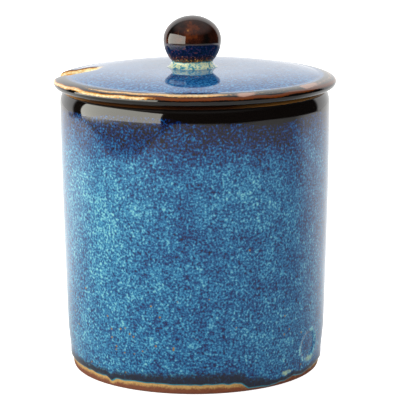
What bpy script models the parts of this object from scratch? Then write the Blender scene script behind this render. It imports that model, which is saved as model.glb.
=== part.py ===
"""Stoneware butter crock: a tapered pot, a drop-on lid with a knife notch, and a ball knob.

Metres, +Z up. The origin is the middle of the foot, on the surface the crock stands on.
Run with: blender --background --python part.py
"""

import math

import bmesh
import bpy
from mathutils import Matrix, Vector

# Pot
POT_HEIGHT = 0.10545
POT_RADIUS = 0.0500            # outside, at the spring of the lip
FOOT_TAPER = 0.00217           # how much narrower the wall is at the foot than at the lip
BELLY = 0.00045                # how far the middle of the wall swells out from a straight taper
FOOT_PINCH = 0.00132           # how far the foot curves in from the line of the wall
FOOT_CURVE_HEIGHT = 0.0160
FOOT_CURVE_POWER = 1.3
WALL = 0.0057
FLOOR = 0.0065
INNER_CORNER = 0.0080
LIP_OUTER_ROUND = 0.0047
LIP_INNER_ROUND = 0.0013
LIP_WALL = 0.0064              # the wall thickens a little to carry the lid
LIP_BAND = 0.0110              # height over which it thickens
FOOT_CHAMFER = 0.0004
FOOT_RING_WIDTH = 0.0058
FOOT_RECESS = 0.0010           # how far the middle of the base is hollowed

# Lid
GAP = 0.0003                   # clearance between pieces that rest on each other
LID_RADIUS = 0.0524
LID_WIDEST_HEIGHT = 0.0018     # above the underside
LID_SHOULDER_HEIGHT = 0.0041
LID_SHOULDER_RADIUS = 0.0463
LID_UNDERSIDE_RADIUS = 0.0511
LID_DOME_RISE = 0.0026
LID_DOME_POWER = 4.5           # the top is nearly flat in the middle and falls away towards the rim
LID_THICKNESS = 0.0046
RING_CLEARANCE = 0.0013        # between the locating ring and the mouth of the pot
RING_WIDTH = 0.0040
RING_DEPTH = 0.0060
RING_CHAMFER = 0.0008

# Knife notch, in the rim of the lid
NOTCH_AZIMUTH = math.radians(174.0)
NOTCH_WIDTH = 0.0120
NOTCH_INNER_RADIUS = 0.0365    # distance from the crock's axis to the notch's round end

# Knob
KNOB_RADIUS = 0.01075
KNOB_TOP_RISE = 0.00895        # equator to top
KNOB_LOWER_DROP = 0.0110       # the lower half is part of a taller ellipse
KNOB_EQUATOR_HEIGHT = 0.0099   # above the knob's base
KNOB_NECK_ANGLE = math.radians(-43.0)
KNOB_FOOT_RADIUS = 0.0098
KNOB_OFFSET_X = -0.0009        # luted on slightly off centre

# Travel and fineness
TURN_STEPS = 72
KNOB_STEPS = 48
NOTCH_STEPS = 24
WELD = 0.00001

LID_SEAT_HEIGHT = POT_HEIGHT + GAP
MOUTH_RADIUS = POT_RADIUS - LIP_WALL
RING_OUTER_RADIUS = MOUTH_RADIUS - RING_CLEARANCE


def clear_scene():
    """Remove every object that is already in the scene."""
    for obj in list(bpy.data.objects):
        bpy.data.objects.remove(obj, do_unlink=True)


def new_collection(name):
    """Make a collection under the scene's own one."""
    collection = bpy.data.collections.new(name)
    bpy.context.scene.collection.children.link(collection)
    return collection


def glaze(name, colour, roughness):
    """A plain glossy glaze on fired clay."""
    material = bpy.data.materials.new(name)
    material.use_nodes = True
    shader = material.node_tree.nodes["Principled BSDF"]
    shader.inputs["Base Color"].default_value = (*colour, 1.0)
    shader.inputs["Roughness"].default_value = roughness
    shader.inputs["Metallic"].default_value = 0.0
    return material


def ellipse_arc(centre, radii, start, end, count):
    """Points along an ellipse from one angle to another, both ends included."""
    points = []
    for i in range(count + 1):
        angle = start + (end - start) * i / count
        r = centre[0] + radii[0] * math.cos(angle)
        z = centre[1] + radii[1] * math.sin(angle)
        points.append((r, z))
    return points


def bezier(p0, p1, p2, p3, count):
    """Points along a cubic curve, both ends included."""
    controls = [Vector(p) for p in (p0, p1, p2, p3)]
    points = []
    for i in range(count + 1):
        t = i / count
        s = 1.0 - t
        weights = (s ** 3, 3 * s * s * t, 3 * s * t * t, t ** 3)
        points.append(tuple(sum((w * c for w, c in zip(weights, controls)), Vector((0.0, 0.0)))))
    return points


def turned(name, profile, steps, collection, material):
    """Turn a profile of (radius, height) points around Z into a closed solid."""
    verts = [(r, 0.0, z) for r, z in profile]
    edges = [(i, i + 1) for i in range(len(verts) - 1)]
    mesh = bpy.data.meshes.new(name)
    mesh.from_pydata(verts, edges, [])
    mesh.materials.append(material)
    obj = bpy.data.objects.new(name, mesh)
    collection.objects.link(obj)
    screw = obj.modifiers.new("Turn", "SCREW")
    screw.axis = "Z"
    screw.angle = math.tau
    screw.steps = steps
    screw.render_steps = steps
    screw.use_merge_vertices = True
    screw.merge_threshold = WELD
    screw.use_smooth_shade = True
    return obj


def outer_radius(z):
    """Outside radius of the pot: a taper that swells a little halfway up and curves in towards the foot."""
    up = z / (POT_HEIGHT - LIP_OUTER_ROUND)
    radius = POT_RADIUS - FOOT_TAPER * (1.0 - up) + 4.0 * BELLY * up * (1.0 - up)
    below = max(0.0, 1.0 - z / FOOT_CURVE_HEIGHT)
    return radius - FOOT_PINCH * below ** FOOT_CURVE_POWER


def pot_profile():
    """From the middle of the inside floor, up the inside, over the lip, down the outside, under the foot."""
    inner_foot = outer_radius(FOOT_CURVE_HEIGHT) - WALL
    corner_centre = (inner_foot - INNER_CORNER, FLOOR + INNER_CORNER)
    points = [(0.0, FLOOR)]
    points += ellipse_arc(corner_centre, (INNER_CORNER, INNER_CORNER), -math.pi / 2, 0.0, 5)

    band_foot = POT_HEIGHT - LIP_BAND
    points.append((outer_radius(band_foot * 0.9) - WALL, band_foot * 0.9))
    points.append((MOUTH_RADIUS, band_foot))
    lip_centre = (MOUTH_RADIUS + LIP_INNER_ROUND, POT_HEIGHT - LIP_INNER_ROUND)
    points += ellipse_arc(lip_centre, (LIP_INNER_ROUND, LIP_INNER_ROUND), math.pi, math.pi / 2, 3)
    lip_centre = (POT_RADIUS - LIP_OUTER_ROUND, POT_HEIGHT - LIP_OUTER_ROUND)
    points += ellipse_arc(lip_centre, (LIP_OUTER_ROUND, LIP_OUTER_ROUND), math.pi / 2, 0.0, 6)

    wall_steps = 6
    wall_top = POT_HEIGHT - LIP_OUTER_ROUND
    for i in range(1, wall_steps):
        z = wall_top + (FOOT_CURVE_HEIGHT - wall_top) * i / wall_steps
        points.append((outer_radius(z), z))
    foot_steps = 4
    for i in range(foot_steps):
        z = FOOT_CURVE_HEIGHT * (1.0 - i / foot_steps)
        points.append((outer_radius(z), z))
    points.append((outer_radius(FOOT_CHAMFER), FOOT_CHAMFER))
    foot = outer_radius(0.0) - FOOT_CHAMFER
    points.append((foot, 0.0))
    points.append((foot - FOOT_RING_WIDTH, 0.0))
    points.append((foot - FOOT_RING_WIDTH - FOOT_RECESS, FOOT_RECESS))
    points.append((0.0, FOOT_RECESS))
    return points


def dome_height(radius):
    """Height of the lid's top above its underside."""
    return LID_SHOULDER_HEIGHT + LID_DOME_RISE * (1.0 - (radius / LID_SHOULDER_RADIUS) ** LID_DOME_POWER)


def lid_profile(knob_seat_radius):
    """From the middle of the top, out to the rim, under it, round the locating ring, and back under the top."""
    seat_height = dome_height(knob_seat_radius)
    points = [(0.0, seat_height)]
    dome_steps = 8
    for i in range(dome_steps):
        radius = knob_seat_radius + (LID_SHOULDER_RADIUS - knob_seat_radius) * i / dome_steps
        points.append((radius, dome_height(radius)))

    rim_rise = LID_SHOULDER_HEIGHT - LID_WIDEST_HEIGHT
    centre = (LID_SHOULDER_RADIUS, LID_WIDEST_HEIGHT)
    radii = (LID_RADIUS - LID_SHOULDER_RADIUS, rim_rise)
    points += ellipse_arc(centre, radii, math.pi / 2, 0.0, 5)
    centre = (LID_UNDERSIDE_RADIUS, LID_WIDEST_HEIGHT)
    radii = (LID_RADIUS - LID_UNDERSIDE_RADIUS, LID_WIDEST_HEIGHT)
    points += ellipse_arc(centre, radii, 0.0, -math.pi / 2, 4)[1:]

    outer = RING_OUTER_RADIUS
    inner = outer - RING_WIDTH
    points.append((outer, 0.0))
    points.append((outer, RING_CHAMFER - RING_DEPTH))
    points.append((outer - RING_CHAMFER, -RING_DEPTH))
    points.append((inner + RING_CHAMFER, -RING_DEPTH))
    points.append((inner, RING_CHAMFER - RING_DEPTH))
    ceiling_steps = 5
    for i in range(ceiling_steps + 1):
        radius = inner * (1.0 - i / ceiling_steps)
        points.append((radius, dome_height(radius) - LID_THICKNESS))
    return points


def knob_profile():
    """From the top of the ball, round its equator, in to the neck and out to the foot, and across the base."""
    centre = (0.0, KNOB_EQUATOR_HEIGHT)
    points = ellipse_arc(centre, (KNOB_RADIUS, KNOB_TOP_RISE), math.pi / 2, 0.0, 8)
    points[0] = (0.0, KNOB_EQUATOR_HEIGHT + KNOB_TOP_RISE)
    lower = ellipse_arc(centre, (KNOB_RADIUS, KNOB_LOWER_DROP), 0.0, KNOB_NECK_ANGLE, 4)
    points += lower[1:]

    neck_top = Vector(lower[-1])
    inward = Vector((KNOB_RADIUS * math.sin(KNOB_NECK_ANGLE), -KNOB_LOWER_DROP * math.cos(KNOB_NECK_ANGLE)))
    foot = Vector((KNOB_FOOT_RADIUS, 0.0))
    neck_pull = 0.0012
    foot_pull = Vector((-0.0013, 0.00025))
    points += bezier(neck_top, neck_top + inward.normalized() * neck_pull, foot + foot_pull, foot, 5)[1:]
    points.append((0.0, 0.0))
    return points


def notch_cutter(collection):
    """A cylinder stretched outwards into a slot with one round end, taller than the lid."""
    half_width = NOTCH_WIDTH / 2
    height = 4 * RING_DEPTH
    mesh = bpy.data.meshes.new("notch_cutter")
    bm = bmesh.new()
    # half a step of turn puts two edges of the circle along the slot's straight sides
    turn = Matrix.Rotation(math.pi / NOTCH_STEPS, 4, "Z")
    apothem = half_width / math.cos(math.pi / NOTCH_STEPS)
    bmesh.ops.create_cone(bm, cap_ends=True, segments=NOTCH_STEPS, radius1=apothem, radius2=apothem,
                          depth=height, matrix=turn)
    for vert in bm.verts:
        if vert.co.x > 0.0:
            vert.co.x += LID_RADIUS - NOTCH_INNER_RADIUS
    bm.to_mesh(mesh)
    bm.free()
    cutter = bpy.data.objects.new("notch_cutter", mesh)
    centre = NOTCH_INNER_RADIUS + half_width
    cutter.location = (centre * math.cos(NOTCH_AZIMUTH), centre * math.sin(NOTCH_AZIMUTH), 0.0)
    cutter.rotation_euler = (0.0, 0.0, NOTCH_AZIMUTH)
    cutter.hide_render = True
    cutter.display_type = "WIRE"
    collection.objects.link(cutter)
    return cutter


def lid_axis(collection):
    """The empty that carries the lid: it stands on the crock's axis at the lid's seat and lifts along +Z."""
    empty = bpy.data.objects.new("lid_lift_axis", None)
    empty.empty_display_type = "SINGLE_ARROW"
    empty.empty_display_size = 0.03
    empty.location = (0.0, 0.0, LID_SEAT_HEIGHT)
    collection.objects.link(empty)
    return empty


def make_pot(collection):
    """The pot."""
    material = glaze("blue_rutile_glaze", (0.045, 0.170, 0.300), 0.12)
    return turned("crock", pot_profile(), TURN_STEPS, collection, material)


def make_lid(collection, cutters, axis):
    """The lid, with its knife notch cut through rim and locating ring."""
    material = glaze("lid_glaze", (0.100, 0.200, 0.360), 0.10)
    seat_radius = KNOB_FOOT_RADIUS + GAP + abs(KNOB_OFFSET_X)
    lid = turned("lid", lid_profile(seat_radius), TURN_STEPS, collection, material)
    lid.parent = axis
    cutter = notch_cutter(cutters)
    cutter.parent = axis
    cut = lid.modifiers.new("Notch", "BOOLEAN")
    cut.operation = "DIFFERENCE"
    cut.solver = "EXACT"
    cut.object = cutter
    return lid, dome_height(seat_radius)


def make_knob(collection, lid, seat_height):
    """The knob, standing on the flat at the middle of the lid."""
    material = glaze("tenmoku_glaze", (0.020, 0.010, 0.010), 0.06)
    knob = turned("knob", knob_profile(), KNOB_STEPS, collection, material)
    knob.parent = lid
    knob.location = (KNOB_OFFSET_X, 0.0, seat_height + GAP)
    return knob


def main():
    """Build the crock in its own collection, with the cutter kept apart."""
    clear_scene()
    parts = new_collection("butter_crock")
    cutters = new_collection("cutters")
    axis = lid_axis(parts)
    make_pot(parts)
    lid, seat_height = make_lid(parts, cutters, axis)
    make_knob(parts, lid, seat_height)


main()
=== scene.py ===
"""The looks of a glazed stoneware butter crock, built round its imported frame.

Laid out as an add-on and run as a script: one operator for each piece and one for the stage.
Metres, +Z up, in the frame's own axes. The viewer stands on the -Y side.
"""

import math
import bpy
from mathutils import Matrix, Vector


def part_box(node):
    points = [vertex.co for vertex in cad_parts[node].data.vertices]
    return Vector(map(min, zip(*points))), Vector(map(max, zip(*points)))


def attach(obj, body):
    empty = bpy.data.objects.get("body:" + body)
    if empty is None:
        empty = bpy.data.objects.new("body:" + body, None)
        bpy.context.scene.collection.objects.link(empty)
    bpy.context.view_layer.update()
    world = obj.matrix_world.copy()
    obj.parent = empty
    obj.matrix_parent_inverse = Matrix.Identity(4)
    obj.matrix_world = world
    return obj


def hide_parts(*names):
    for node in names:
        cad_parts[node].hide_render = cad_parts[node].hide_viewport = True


bl_info = {
    "name": "Butter crock",
    "version": (1, 0, 0),
    "blender": (4, 5, 0),
    "location": "3D View > Sidebar > Crock",
    "description": "Builds a reactive-glazed stoneware butter crock with a notched lid and a ball knob",
    "category": "Object",
}

import bpy
import numpy as np
from mathutils import Matrix, Vector

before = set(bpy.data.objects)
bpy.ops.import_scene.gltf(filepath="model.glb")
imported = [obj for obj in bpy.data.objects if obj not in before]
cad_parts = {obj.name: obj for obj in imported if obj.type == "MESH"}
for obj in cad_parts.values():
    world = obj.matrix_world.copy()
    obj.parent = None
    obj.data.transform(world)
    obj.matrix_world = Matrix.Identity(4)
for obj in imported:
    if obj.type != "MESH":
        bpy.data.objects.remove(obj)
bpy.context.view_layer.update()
POT_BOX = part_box("crock")
LID_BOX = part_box("lid")
KNOB_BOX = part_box("knob")

MM = 0.001

# Pot, worked out from its packed box
POT_HEIGHT = POT_BOX[1].z
POT_RADIUS = POT_BOX[1].x
FOOT_TAPER = 2.17 * MM
BELLY = 0.45 * MM
FOOT_PINCH = 1.32 * MM
FOOT_CURVE_HEIGHT = 16.0 * MM
FOOT_CURVE_POWER = 1.3
WALL = 5.7 * MM
FLOOR = 6.5 * MM
INNER_CORNER = 8.0 * MM
LIP_OUTER_ROUND = 4.7 * MM
LIP_INNER_ROUND = 1.3 * MM
LIP_LEAN_HEIGHT = 5.8 * MM      # the lip starts to lean in this far below its top
LIP_LEAN = math.radians(27.0)   # and has leaned this much where the tighter round takes over
LIP_TOP_ROUND = 1.7 * MM
LIP_WALL = 6.4 * MM
LIP_BAND = 11.0 * MM
FOOT_RING_WIDTH = 5.8 * MM
FOOT_RECESS = 1.0 * MM
FOOT_EDGE_ROUND = 0.7 * MM

# Lid and knob
GAP = 0.3 * MM
LID_SEAT = POT_HEIGHT + GAP
LID_RADIUS = LID_BOX[1].x - 0.03 * MM
LID_WIDEST_HEIGHT = 1.8 * MM
LID_SHOULDER_HEIGHT = 4.1 * MM
LID_SHOULDER_RADIUS = 46.3 * MM
LID_UNDERSIDE_RADIUS = 51.1 * MM
LID_DOME_RISE = 2.6 * MM
LID_DOME_POWER = 4.5
LID_THICKNESS = 4.6 * MM
RING_OUTER_RADIUS = POT_RADIUS - LIP_WALL - 1.3 * MM
RING_WIDTH = 4.0 * MM
RING_DEPTH = LID_SEAT - LID_BOX[0].z
NOTCH_AZIMUTH = math.radians(174.0)
NOTCH_WIDTH = 12.0 * MM
NOTCH_INNER_RADIUS = 36.5 * MM
KNOB_AXIS = (KNOB_BOX[0] + KNOB_BOX[1]) / 2
KNOB_RADIUS = (KNOB_BOX[1].x - KNOB_BOX[0].x) / 2
KNOB_BASE = KNOB_BOX[0].z
KNOB_TOP = KNOB_BOX[1].z - 0.02 * MM
KNOB_EQUATOR = KNOB_BASE + 9.9 * MM
KNOB_LOWER_DROP = 11.0 * MM
KNOB_NECK_ANGLE = math.radians(-43.0)
KNOB_FOOT_RADIUS = 9.8 * MM
KNOB_SINK = 0.36 * MM        # the fired-on glaze closes the seam under the knob

# Plain thumb seal
SEAL_BEARING = math.radians(59.5)
SEAL_HEIGHT = 12.4 * MM

# Fired glaze and bare clay
GLASS_IOR = 1.52
GLAZE_ROUGHNESS = 0.055
CLAY_ROUGHNESS = 0.8

# Studio floor: a sheet with a round front edge, laid on a round table that is only there to be mirrored
PAPER_CENTRE = (0.0155, -0.0077)
PAPER_RADIUS = 0.6143
PAPER_BACK = 2.6
PAPER_GREY = 0.6
PAPER_GLOW = 0.85
PAPER_CURL = 0.128             # the sheet's edge curls in by this much at the near left
PAPER_CURL_BEARING = -60.0     # degrees
PAPER_CURL_SPREAD = 30.0       # degrees
TABLE_RADIUS = 0.634

# Studio lights and camera
WINDOW_BEARING = math.radians(-58.0)
WINDOW_DISTANCE = 0.9
WINDOW_WIDTH = 1.67
WINDOW_SHIFT = -0.315
WINDOW_BOTTOM = -0.20
WINDOW_TOP = 0.64
WINDOW_WATTS = 24.9
WINDOW_COLOUR = (1.0, 0.985, 0.88)
BOUNCE_PLACE = (0.75, -0.8, 0.7)
BOUNCE_SIZE = 1.2
BOUNCE_WATTS = 13.0
ROOM_DARK = 0.012
ROOM_BACK = 1.2
ROOM_CEILING = 0.45
CAMERA_PLACE = (0.0017, -0.761, 0.21995)
CAMERA_DOWN = 0.207            # radians below level
CAMERA_ROLL = -0.0041
CAMERA_LENS = 181.85           # mm, on a 36 mm sensor


def linear(code):
    """An sRGB hex colour as linear RGB."""
    out = []
    for i in (1, 3, 5):
        c = int(code[i:i + 2], 16) / 255.0
        out.append(c / 12.92 if c <= 0.04045 else ((c + 0.055) / 1.055) ** 2.4)
    return tuple(out)


# ---------------------------------------------------------------- settings


class CrockSizes(bpy.types.PropertyGroup):
    """Sizes of the handmade details."""

    glaze_step: bpy.props.FloatProperty(
        name="Glaze step", description="How far the glaze stands proud of the bare clay at the foot",
        default=0.25 * MM, unit="LENGTH")
    glaze_roll: bpy.props.FloatProperty(
        name="Glaze roll", description="Thickness of the bead where the running glaze stopped",
        default=0.30 * MM, unit="LENGTH")
    seal_radius: bpy.props.FloatProperty(
        name="Thumb seal radius", description="Radius of the plain round press mark near the foot",
        default=5.9 * MM, unit="LENGTH")
    seal_depth: bpy.props.FloatProperty(
        name="Thumb seal depth", description="Depth of the plain round press mark",
        default=0.45 * MM, unit="LENGTH")
    wobble: bpy.props.FloatProperty(
        name="Wobble", description="How far the turned shapes wander from true",
        default=0.06 * MM, unit="LENGTH")
    speckle: bpy.props.FloatProperty(
        name="Speckle", description="Spacing of the pale flecks in the blue glaze",
        default=0.80 * MM, unit="LENGTH")


class CrockColours(bpy.types.PropertyGroup):
    """Colours of the glazes and the clay."""

    night: bpy.props.FloatVectorProperty(
        name="Night blue", description="Darkest flecks of the blue glaze",
        default=linear("#04285A"), subtype="COLOR", size=3)
    cobalt: bpy.props.FloatVectorProperty(
        name="Cobalt", description="Body of the blue glaze",
        default=linear("#0A4D7C"), subtype="COLOR", size=3)
    rutile: bpy.props.FloatVectorProperty(
        name="Rutile blue", description="Pale crystals in the blue glaze",
        default=linear("#2B779D"), subtype="COLOR", size=3)
    frost: bpy.props.FloatVectorProperty(
        name="Frost", description="Palest points of the blue glaze",
        default=linear("#74B4B8"), subtype="COLOR", size=3)
    ink: bpy.props.FloatVectorProperty(
        name="Ink blue", description="Blue glaze lying thick and clear over the iron",
        default=linear("#04103E"), subtype="COLOR", size=3)
    depth: bpy.props.FloatVectorProperty(
        name="Depth", description="Blue glaze where it stopped running and lies thickest",
        default=linear("#030A20"), subtype="COLOR", size=3)
    tenmoku: bpy.props.FloatVectorProperty(
        name="Iron black", description="The iron glaze where it is thick",
        default=linear("#0A0706"), subtype="COLOR", size=3)
    plum: bpy.props.FloatVectorProperty(
        name="Plum", description="Iron glaze just under a film of blue",
        default=linear("#0C0910"), subtype="COLOR", size=3)
    umber: bpy.props.FloatVectorProperty(
        name="Umber", description="The iron glaze just starting to thin",
        default=linear("#2E1408"), subtype="COLOR", size=3)
    rust: bpy.props.FloatVectorProperty(
        name="Rust", description="The iron glaze where it thins",
        default=linear("#5E2A06"), subtype="COLOR", size=3)
    honey: bpy.props.FloatVectorProperty(
        name="Honey", description="The iron glaze where it breaks over an edge",
        default=linear("#C98F45"), subtype="COLOR", size=3)
    cream: bpy.props.FloatVectorProperty(
        name="Cream", description="Pooled glaze that turned milky",
        default=linear("#D9CDA2"), subtype="COLOR", size=3)
    celadon: bpy.props.FloatVectorProperty(
        name="Celadon", description="Milky green runs near the foot",
        default=linear("#8FA890"), subtype="COLOR", size=3)
    shell: bpy.props.FloatVectorProperty(
        name="Shell pink", description="Blushed patches on the lid's rim",
        default=linear("#A88070"), subtype="COLOR", size=3)
    turquoise: bpy.props.FloatVectorProperty(
        name="Turquoise", description="The thin outer lip of the blue glaze",
        default=linear("#2F8496"), subtype="COLOR", size=3)
    sand: bpy.props.FloatVectorProperty(
        name="Sand", description="Clay flashed by the glaze above it",
        default=linear("#AC8850"), subtype="COLOR", size=3)
    clay: bpy.props.FloatVectorProperty(
        name="Clay", description="Bare fired clay",
        default=linear("#66331C"), subtype="COLOR", size=3)
    ember: bpy.props.FloatVectorProperty(
        name="Ember", description="Specks where iron burnt through",
        default=linear("#7C602C"), subtype="COLOR", size=3)
    lid_night: bpy.props.FloatVectorProperty(
        name="Lid night blue", description="Darkest flecks of the lid's clearer blue glaze",
        default=linear("#0A3264"), subtype="COLOR", size=3)
    lid_blue: bpy.props.FloatVectorProperty(
        name="Lid blue", description="Body of the lid's clearer blue glaze",
        default=linear("#1A609E"), subtype="COLOR", size=3)
    lid_frost: bpy.props.FloatVectorProperty(
        name="Lid frost", description="Palest points of the lid's clearer blue glaze",
        default=linear("#56A4D2"), subtype="COLOR", size=3)
    chestnut: bpy.props.FloatVectorProperty(
        name="Chestnut", description="Warm clouds in the knob's iron glaze",
        default=linear("#5A2A12"), subtype="COLOR", size=3)
    ivory: bpy.props.FloatVectorProperty(
        name="Ivory", description="Milky glaze pooled round the knob's neck",
        default=linear("#CFCB9C"), subtype="COLOR", size=3)


# Shades between those, which only the materials use
CLOUDED_BROWN = linear("#2C120A")
CHARRED_BROWN = linear("#140A08")
# painted reflection of the blue lid in the knob's lower half
PAINTED_LID_REFLECTION_DARK = linear("#04081C")
PAINTED_LID_REFLECTION_BLUE = linear("#0A183E")
MARBLE_TEAL = linear("#0E4C68")
MARBLE_LAGOON = linear("#3A8A9C")
MARBLE_SEA = linear("#3E8E9E")
STAINED_WOOD = linear("#0E0B0A")
STAINED_WOOD_PALE = linear("#1A1512")


# ---------------------------------------------------------------- shapes


def arc(centre, radii, start, end, count):
    """Points along an ellipse from one angle to another, both ends included."""
    angles = np.linspace(start, end, count + 1)
    return [(centre[0] + radii[0] * math.cos(a), centre[1] + radii[1] * math.sin(a)) for a in angles]


def bezier(p0, p1, p2, p3, count):
    """Points along a cubic curve, both ends included."""
    t = np.linspace(0.0, 1.0, count + 1)[:, None]
    s = 1.0 - t
    curve = s ** 3 * np.array(p0) + 3 * s * s * t * np.array(p1)
    curve += 3 * s * t * t * np.array(p2) + t ** 3 * np.array(p3)
    return [tuple(p) for p in curve]


def resampled(points, spacing):
    """The same outline with points at an even spacing."""
    points = np.array(points)
    steps = np.hypot(*np.diff(points, axis=0).T)
    along = np.concatenate([[0.0], np.cumsum(steps)])
    wanted = np.linspace(0.0, along[-1], int(round(along[-1] / spacing)) + 1)
    return np.stack([np.interp(wanted, along, points[:, i]) for i in (0, 1)], axis=1)


def outward(outline):
    """Unit normals of an outline that runs down its outer side."""
    step = np.gradient(outline, axis=0)
    normal = np.stack([-step[:, 1], step[:, 0]], axis=1)
    return normal / np.maximum(np.linalg.norm(normal, axis=1, keepdims=True), 1e-12)


def turned_piece(name, outline, columns, relief=None):
    """A closed turned mesh. relief(bearing, radius, height) is added along the surface normal."""
    normal = outward(outline)
    bearing = np.arange(columns) * math.tau / columns
    inner = outline[1:-1]
    b, r = np.meshgrid(bearing, inner[:, 0])
    z = np.repeat(inner[:, 1:], columns, axis=1)
    lift = relief(b, r, z) if relief else np.zeros_like(b)
    r = r + lift * normal[1:-1, :1]
    z = z + lift * normal[1:-1, 1:]
    co = np.stack([r * np.sin(b), -r * np.cos(b), z], axis=-1).reshape(-1, 3)
    ends = [(0.0, 0.0, outline[0][1]), (0.0, 0.0, outline[-1][1])]
    verts = np.concatenate([co, ends])
    rows = len(inner)
    first, last = rows * columns, rows * columns + 1
    faces = []
    for j in range(columns):
        k = (j + 1) % columns
        faces.append((first, j, k))
        faces.append((last, (rows - 1) * columns + k, (rows - 1) * columns + j))
        for i in range(rows - 1):
            a = i * columns
            faces.append((a + j, a + columns + j, a + columns + k, a + k))
    mesh = bpy.data.meshes.new(name)
    mesh.from_pydata(verts.tolist(), [], faces)
    mesh.update()
    mesh.shade_smooth()
    obj = bpy.data.objects.new(name, mesh)
    bpy.context.scene.collection.objects.link(obj)
    return obj


def bearing_of(co):
    """Angle of points round the crock: 0 at the front, growing to the right."""
    return np.arctan2(co[:, 0], -co[:, 1])


def vertices_of(obj):
    """An object's vertex positions as rows."""
    co = np.empty(len(obj.data.vertices) * 3)
    obj.data.vertices.foreach_get("co", co)
    return co.reshape(-1, 3)


def paint(obj, name, values):
    """Store one number for each vertex, for the material to read."""
    layer = obj.data.attributes.new(name, "FLOAT", "POINT")
    layer.data.foreach_set("value", np.asarray(values, dtype=np.float32))


def ripple(bearing, seed, lowest, highest, falloff):
    """A wavy line round the crock that closes on itself, about 1 high."""
    rng = np.random.default_rng(seed)
    total = np.zeros_like(bearing)
    for k in range(lowest, highest + 1):
        phase = rng.uniform(0.0, math.tau)
        total = total + np.cos(k * bearing + phase) / k ** falloff
    return total / np.sqrt(sum(0.5 / k ** (2 * falloff) for k in range(lowest, highest + 1)))


def ramp(x, low, high):
    """0 below low, 1 above high, smooth between."""
    t = np.clip((x - low) / (high - low), 0.0, 1.0)
    return t * t * (3.0 - 2.0 * t)


# Height of the glaze's lower edge above the table, chosen round the foot: (bearing in degrees, mm)
GLAZE_EDGE = [
    (-180, 2.6), (-150, 3.3), (-120, 2.4), (-100, 3.2), (-78, 3.9), (-55, 3.7), (-44, 3.4), (-41, 2.1),
    (-38, 3.4), (-20, 3.8), (0, 3.7), (11, 3.9), (14, 3.3), (17, 3.8), (20, 3.6), (24, 1.3), (33, 1.0),
    (44, 1.5), (49, 2.6), (54, 1.6), (64, 2.4), (75, 3.0), (95, 2.0), (125, 2.9), (150, 1.8), (180, 2.6),
]


def glaze_edge(bearing):
    """Height at which the glaze stops above the foot."""
    angles, heights = zip(*GLAZE_EDGE)
    degrees = np.degrees((bearing + math.pi) % math.tau - math.pi)
    height = np.interp(degrees, angles, heights)
    return (height + 0.09 * ripple(bearing, 11, 20, 90, 0.5)) * MM


def outer_radius(z):
    """Outside radius of the pot: a taper that swells a little halfway up and curves in towards the foot."""
    up = z / (POT_HEIGHT - LIP_OUTER_ROUND)
    radius = POT_RADIUS - FOOT_TAPER * (1.0 - up) + 4.0 * BELLY * up * (1.0 - up)
    below = max(0.0, 1.0 - z / FOOT_CURVE_HEIGHT)
    return radius - FOOT_PINCH * below ** FOOT_CURVE_POWER


def pot_outline():
    """From the middle of the inside floor, up, over the lip, down the outside and under the foot."""
    inner_foot = outer_radius(FOOT_CURVE_HEIGHT) - WALL
    corner = (inner_foot - INNER_CORNER, FLOOR + INNER_CORNER)
    points = [(0.0, FLOOR)]
    points += arc(corner, (INNER_CORNER, INNER_CORNER), -math.pi / 2, 0.0, 20)
    band_foot = POT_HEIGHT - LIP_BAND
    mouth = POT_RADIUS - LIP_WALL
    points.append((outer_radius(band_foot * 0.9) - WALL, band_foot * 0.9))
    points.append((mouth, band_foot))
    lip = (mouth + LIP_INNER_ROUND, POT_HEIGHT - LIP_INNER_ROUND)
    points += arc(lip, (LIP_INNER_ROUND, LIP_INNER_ROUND), math.pi, math.pi / 2, 16)
    wide = (LIP_LEAN_HEIGHT - LIP_TOP_ROUND) / math.sin(LIP_LEAN)
    spring = POT_HEIGHT - LIP_LEAN_HEIGHT
    shoulder = outer_radius(spring) - wide * (1.0 - math.cos(LIP_LEAN))
    tight = LIP_TOP_ROUND / (1.0 - math.sin(LIP_LEAN))
    lip = (shoulder - tight * math.cos(LIP_LEAN), POT_HEIGHT - tight)
    points += arc(lip, (tight, tight), math.pi / 2, LIP_LEAN, 24)
    points += arc((outer_radius(spring) - wide, spring), (wide, wide), LIP_LEAN, 0.0, 24)[1:]
    points += [(outer_radius(z), z) for z in np.linspace(spring, FOOT_EDGE_ROUND, 120)[1:]]
    foot = outer_radius(0.0) - FOOT_EDGE_ROUND
    points += arc((foot, FOOT_EDGE_ROUND), (FOOT_EDGE_ROUND, FOOT_EDGE_ROUND), 0.0, -math.pi / 2, 8)[1:]
    points.append((foot - FOOT_RING_WIDTH, 0.0))
    points.append((foot - FOOT_RING_WIDTH - FOOT_RECESS, FOOT_RECESS))
    points.append((0.0, FOOT_RECESS))
    return np.array(points)


def pot_relief(sizes):
    """The glaze's thickness, its roll above the foot, the plain thumb seal and a little wobble."""
    def relief(bearing, radius, height):
        outside = radius > outer_radius(0.0) - 2 * FOOT_EDGE_ROUND
        above = height - glaze_edge(bearing)
        step = (ramp(above, -0.15 * MM, 0.25 * MM) - 1.0) * sizes.glaze_step
        roll = sizes.glaze_roll * ramp(above, 0.0, 0.7 * MM) * (1.0 - ramp(above, 0.8 * MM, 4.5 * MM))
        across = (bearing - SEAL_BEARING) * radius
        from_seal = np.hypot(across, height - SEAL_HEIGHT)
        dish = -sizes.seal_depth * (1.0 - ramp(from_seal, 0.72 * sizes.seal_radius, sizes.seal_radius))
        collar = 0.3 * sizes.seal_depth * np.exp(-((from_seal / sizes.seal_radius - 1.12) / 0.10) ** 2)
        wander = sizes.wobble * (ripple(bearing, 3, 2, 7, 1.0) * np.cos(height / (31 * MM))
                                 + 0.5 * ripple(bearing + height / (90 * MM), 4, 3, 12, 0.7))
        wander = wander * ramp(height, 2 * MM, 20 * MM)
        glazed = outside & (height < POT_HEIGHT - 1.0 * MM)
        return np.where(glazed, step + roll + dish + collar + wander, 0.0)
    return relief


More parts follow.
